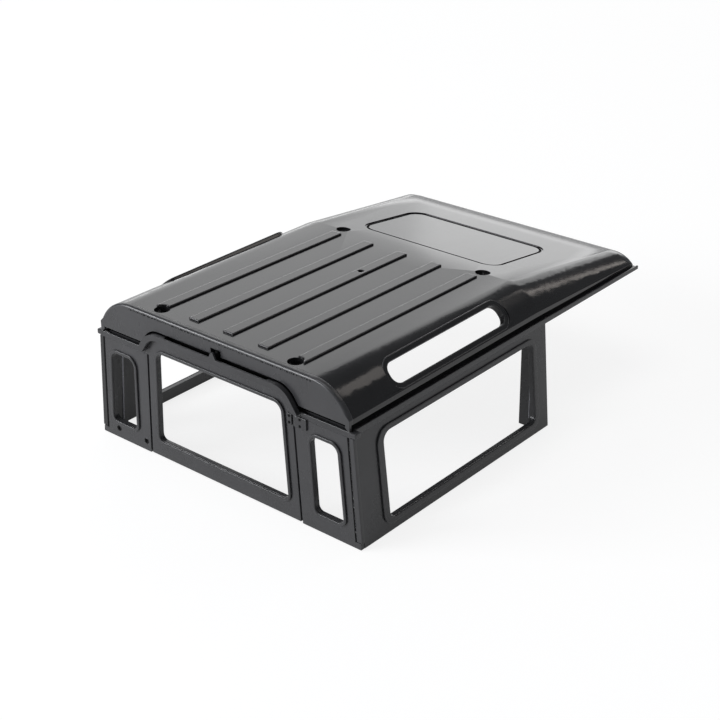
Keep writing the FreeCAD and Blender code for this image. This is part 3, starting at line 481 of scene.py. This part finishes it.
# hatch: its plane starts at the roof's bend and falls to the nose
BEND_Y = 25.1
BEND_Z = 74.6
NOSE_RUN = 87.4
NOSE_FALL = 11.2
NOSE_ANGLE = -math.atan2(NOSE_FALL, NOSE_RUN)
HATCH = Matrix.Translation(Vector((0, BEND_Y, BEND_Z))) @ Matrix.Rotation(NOSE_ANGLE, 4, "X")
HATCH_HALF_X = 44.9
HATCH_HALF_Y = 25.0
HATCH_MID_Y = 36.9
HATCH_CORNER = 9.0
HATCH_STEPS = 12
# how far in from the hatch's outline the rings start and end, and how deep below the roof they lie
LIP_START = 0.02
LIP_END = 0.85
SKIN_START = 2.1
SKIN_FLAT = 2.25
SHALLOW = 0.45
SKIN_EDGE = 0.55
GROOVE_DEPTH = 0.95
HIDDEN = 1.05


def hatch_ring(name, profile, mat, lid=False):
    """Bands round the hatch through successive (shrink, depth) lines, with a lid on the last."""
    loops = []
    for shrink, depth in profile:
        outline = rounded_outline(HATCH_HALF_X - shrink, HATCH_HALF_Y - shrink,
                                  HATCH_CORNER - shrink, HATCH_STEPS)
        lift = Vector((0, HATCH_MID_Y, -depth))
        loops.append([tuple(HATCH @ (point + lift)) for point, out in outline])
    return bands(name, loops, mat, lid=lid)


def hatch():
    """Shallow lip, a groove painted dark as shade and panel skin in the sunken opening."""
    lip = ((LIP_START, HIDDEN), (LIP_START, SHALLOW), (LIP_END, SHALLOW), (LIP_END, HIDDEN))
    groove = ((LIP_END, GROOVE_DEPTH), (SKIN_START, GROOVE_DEPTH))
    skin = ((SKIN_START, HIDDEN), (SKIN_START, SKIN_EDGE), (SKIN_FLAT, SHALLOW))
    hatch_ring("hatch_lip", lip, roof_mat)
    hatch_ring("hatch_groove", groove, shade_paint_mat)
    hatch_ring("hatch_skin", skin, roof_mat, lid=True)


# high windows and flanges
WINDOW_CENTRE = (73.5, -38.5, 69.0)
WINDOW_TILT = 48
WINDOW_HALF_X = 5.3
WINDOW_HALF_Y = 41.65
WINDOW_CORNER = 4.6
WINDOW_STEPS = 10
ROUND_SIDES = 6
FLANGE_EDGE_X = (78.4, 78.85)
FLANGE_EDGE_Y = (FLANGE_BACK - 0.25, FLANGE_BACK + 0.05)
FLANGE_EDGE_HEIGHTS = (5.0, 40.0)


def ring_bead(name, side, grow, lift, radius):
    """A thin bead along a high window's outline, in the ring's leaning plane."""
    x, y, z = WINDOW_CENTRE
    tilt = Matrix.Rotation(math.radians(WINDOW_TILT) * side, 4, "Y")
    place = Matrix.Translation(Vector((x * side, y, z))) @ tilt
    outline = rounded_outline(WINDOW_HALF_X + grow, WINDOW_HALF_Y + grow,
                              WINDOW_CORNER + grow, WINDOW_STEPS)
    loops = []
    for k in range(ROUND_SIDES):
        b = 2 * math.pi * k / ROUND_SIDES
        reach = radius * math.cos(b)
        rise = Vector((0, 0, lift + radius * math.sin(b)))
        loops.append([tuple(place @ (point + out * reach + rise)) for point, out in outline])
    item = bands(name, loops, rim_mat, closed=True)
    for face in item.data.polygons:
        face.use_smooth = True
    return item


def flange_edge(word, side):
    """A painted highlight on the edge of the plate behind a front pillar."""
    return block("flange_edge_" + word, side, FLANGE_EDGE_X, FLANGE_EDGE_X, FLANGE_EDGE_Y,
                 FLANGE_EDGE_HEIGHTS, highlight_paint_mat)


for leaf in ("door", "body"):
    hinge_dots(leaf)
for vent, vent_x in VENT_X.items():
    vent_marks(vent, vent_x)
for word, side in SIDES:
    rear_corner(word, side)
# painted highlight on the tab's edge, and pips as painted glints along the right rear corner
block("tab_edge", 1, TAB_FOOT, TAB_HEAD, TAB_Y, TAB_HEIGHTS, glint_paint_mat)
pips("corner_pips", CORNER_PIP_START, CORNER_PIP_END, count=34, size=0.30,
     mat=glint_paint_mat)
# pips along the cap's top edge: near-black ones as painted shade, light ones as painted glints
cap_pips("cap_pips_dark", half=58.0, proud=0.25, drop=1.7, count=120, size=0.38, mat=shade_paint_mat)
cap_pips("cap_pips_light", half=57.0, proud=0.3, drop=1.3, count=46, size=0.24, mat=glint_paint_mat)
hatch()
for word, side in SIDES:
    ring_bead("ring_bead_outer_" + word, side, grow=2.55, lift=0.25, radius=0.34)
    ring_bead("ring_bead_inner_" + word, side, grow=0.25, lift=0.22, radius=0.26)
    flange_edge(word, side)


# camera at the photograph's viewing angle
CAMERA_PLACE = (0.44873, -0.53264, 0.37538)
CAMERA_AIM = (-0.58411, 0.67361, -0.45284)
CAMERA_ROLL = -0.91
CAMERA_LENS = 75.59
CAMERA_SENSOR = 36.0
CAMERA_CLIP = (0.02, 50.0)


def photo_camera():
    """The camera, turned about its own line of sight by the roll."""
    forward = Vector(CAMERA_AIM).normalized()
    level = forward.cross(Vector((0, 0, 1))).normalized()
    upright = level.cross(forward)
    roll = math.radians(CAMERA_ROLL)
    right = level * math.cos(roll) + upright * math.sin(roll)
    up = upright * math.cos(roll) - level * math.sin(roll)
    data = bpy.data.cameras.new("Camera")
    data.lens = CAMERA_LENS
    data.sensor_width = CAMERA_SENSOR
    data.clip_start, data.clip_end = CAMERA_CLIP
    item = bpy.data.objects.new("Camera", data)
    bpy.context.scene.collection.objects.link(item)
    turn = Matrix((right, up, -forward)).transposed().to_4x4()
    item.matrix_world = Matrix.Translation(Vector(CAMERA_PLACE)) @ turn
    return item


bpy.context.scene.camera = photo_camera()


# pale floor and world
WHITE = (1, 1, 1, 1)
FLOOR_HALF = 6.0
FLOOR_DROP = 0.0004
FLOOR_COLOUR = (0.85, 0.85, 0.85, 1)
FLOOR_GLOW = 1.15
GLOW_SEEN = 0.72
GLOW_MIRRORED = 0.30
WORLD_COLOUR = (0.93, 0.96, 1.0, 1)
WORLD_LIGHT = 0.22


def floor_material():
    """Matte and pale, with a share of white glow for the camera and in reflections."""
    mat = bpy.data.materials.new("PaleFloor")
    tree = empty_tree(mat)
    out = add(tree, "ShaderNodeOutputMaterial")
    matte = add(tree, "ShaderNodeBsdfDiffuse", Color=FLOOR_COLOUR)
    glow = add(tree, "ShaderNodeEmission", Color=WHITE, Strength=FLOOR_GLOW)
    mix = add(tree, "ShaderNodeMixShader")
    rays = add(tree, "ShaderNodeLightPath")
    mirrored = add(tree, "ShaderNodeMath", operation="MULTIPLY")
    mirrored.inputs[1].default_value = GLOW_MIRRORED
    share = add(tree, "ShaderNodeMath", operation="MULTIPLY_ADD")
    share.inputs[1].default_value = GLOW_SEEN
    link(tree, rays.outputs["Is Glossy Ray"], mirrored.inputs[0])
    link(tree, rays.outputs["Is Camera Ray"], share.inputs[0])
    link(tree, mirrored.outputs["Value"], share.inputs[2])
    link(tree, share.outputs["Value"], mix.inputs["Fac"])
    link(tree, matte.outputs["BSDF"], mix.inputs[1])
    link(tree, glow.outputs["Emission"], mix.inputs[2])
    link(tree, mix.outputs["Shader"], out.inputs["Surface"])
    return mat


def pale_floor():
    """A large square just below the canopy's feet."""
    corners = [(x * FLOOR_HALF, y * FLOOR_HALF, 0) for x, y in ((-1, -1), (1, -1), (1, 1), (-1, 1))]
    mesh = bpy.data.meshes.new("Floor")
    mesh.from_pydata(corners, [], [(0, 1, 2, 3)])
    mesh.materials.append(floor_material())
    item = bpy.data.objects.new("Floor", mesh)
    item.location = (0, 0, -FLOOR_DROP)
    bpy.context.scene.collection.objects.link(item)
    return item


def studio_world():
    """White where the camera sees it, and a weak cool light on the object."""
    world = bpy.data.worlds.new("Studio")
    tree = empty_tree(world)
    out = add(tree, "ShaderNodeOutputWorld")
    seen = add(tree, "ShaderNodeBackground", Color=WHITE, Strength=1.0)
    lit = add(tree, "ShaderNodeBackground", Color=WORLD_COLOUR, Strength=WORLD_LIGHT)
    mix = add(tree, "ShaderNodeMixShader")
    rays = add(tree, "ShaderNodeLightPath")
    link(tree, rays.outputs["Is Camera Ray"], mix.inputs["Fac"])
    link(tree, lit.outputs["Background"], mix.inputs[1])
    link(tree, seen.outputs["Background"], mix.inputs[2])
    link(tree, mix.outputs["Shader"], out.inputs["Surface"])
    return world


floor = pale_floor()
bpy.context.scene.world = studio_world()


# soft studio lights: places and sizes in metres, power in watts
MIDDLE = (0, 0, 0.05)
LOW_MIDDLE = (0, 0, 0.03)
NEUTRAL = (1, 1, 1)
COOL = (0.96, 0.97, 1.0)
WARM = (1.0, 0.93, 0.87)
WARM_PALE = (1.0, 0.93, 0.88)


def soft_light(name, place, aim, size, power, colour=NEUTRAL, along=None):
    """A rectangular softbox pointing at a place, its width level or along a direction."""
    data = bpy.data.lights.new(name, "AREA")
    data.shape = "RECTANGLE"
    data.size, data.size_y = size
    data.energy = power
    data.color = colour
    item = bpy.data.objects.new(name, data)
    back = (Vector(place) - Vector(aim)).normalized()
    across = Vector(along) if along else Vector((0, 0, 1)).cross(back)
    across = (across - back * across.dot(back)).normalized()
    turn = Matrix((across, back.cross(across), back)).transposed().to_4x4()
    item.matrix_world = Matrix.Translation(Vector(place)) @ turn
    bpy.context.scene.collection.objects.link(item)
    return item


soft_light("BackSoftbox", (-1.45, 1.90, 0.80), MIDDLE, size=(2.2, 1.4), power=13.2)
soft_light("FarSoftbox", (-0.95, 2.25, 0.50), MIDDLE, size=(1.1, 0.8), power=1.9)
soft_light("LowSoftbox", (-1.95, 1.65, 0.14), MIDDLE, size=(1.3, 0.26), power=1.3)
soft_light("TopSoftbox", (-0.3, -0.4, 1.9), LOW_MIDDLE, size=(1.2, 1.2), power=9.0)
soft_light("LeftSoftbox", (-1.2, -1.6, 0.7), LOW_MIDDLE, size=(1.2, 0.9), power=38.0, colour=COOL)
soft_light("EdgeStrip", (0.32, 1.72, 1.12), (0.072, 0.06, 0.068), size=(0.75, 0.08), power=1.0,
           colour=WARM, along=(0.24, 0.11, -0.21))
soft_light("ShoulderBox", (0.57, 1.26, 1.45), (0.07, -0.1, 0.07), size=(0.6, 0.3), power=0.95,
           colour=WARM_PALE, along=(0.93, 0, -0.355))

bpy.context.scene.view_settings.view_transform = "Standard"
